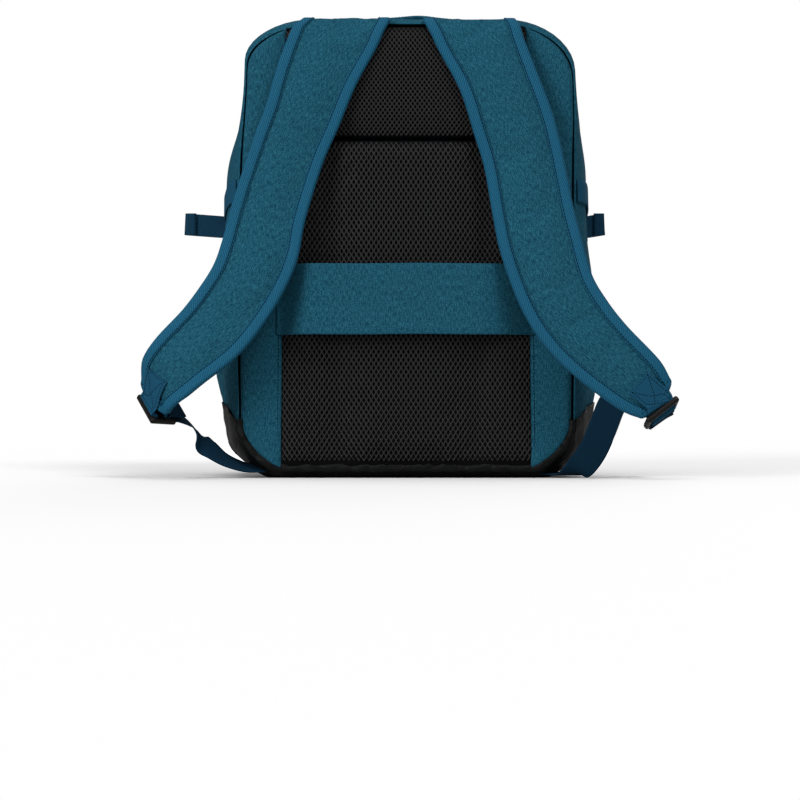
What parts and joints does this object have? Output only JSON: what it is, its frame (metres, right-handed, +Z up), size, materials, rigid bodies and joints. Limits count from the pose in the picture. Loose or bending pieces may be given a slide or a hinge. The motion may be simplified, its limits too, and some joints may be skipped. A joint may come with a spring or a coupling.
{
  "type": "cabin backpack",
  "caption": "Soft cabin backpack with padded shoulder straps, an air-mesh back panel and a luggage band that slides over a trolley handle; it stands on its base.",
  "frame": {"origin": "middle of the bag's base, on the surface that it stands on", "axes": "+Z up, -Y out of the back panel that lies against the wearer, +X to the right of someone who looks at that panel"},
  "size_m": [0.4651, 0.2641, 0.4058],
  "materials": {
    "teal_cloth": "matte heathered polyester melange",
    "black_cloth": "matte coated polyester",
    "air_mesh": "matte perforated spacer mesh over foam",
    "binding_twill": "matte twill tape",
    "webbing": "matte ribbed webbing",
    "buckle_plastic": "satin moulded acetal",
    "zip_tape": "matte woven tape with coil teeth",
    "zip_metal": "satin black lacquer"
  },
  "bodies": {
    "root": {"bag_shell": "teal_cloth", "base_boot": "black_cloth", "zip_chain": "zip_tape", "zip_slider": "zip_metal", "back_strip_left": "teal_cloth", "back_strip_right": "teal_cloth", "back_mesh_upper": "air_mesh", "back_mesh_lower": "air_mesh", "luggage_band": "teal_cloth", "grab_handle": "teal_cloth", "shoulder_pad_left": "teal_cloth", "shoulder_binding_left": "binding_twill", "strap_patch_left": "webbing", "ladder_lock_left": "buckle_plastic", "anchor_webbing_left": "webbing", "side_strap_left": "webbing", "side_lock_left": "buckle_plastic", "side_tail_left": "webbing", "shoulder_pad_right": "teal_cloth", "shoulder_binding_right": "binding_twill", "strap_patch_right": "webbing", "ladder_lock_right": "buckle_plastic", "anchor_webbing_right": "webbing", "side_strap_right": "webbing", "side_lock_right": "buckle_plastic", "side_tail_right": "webbing"}
  },
  "joints": []
}
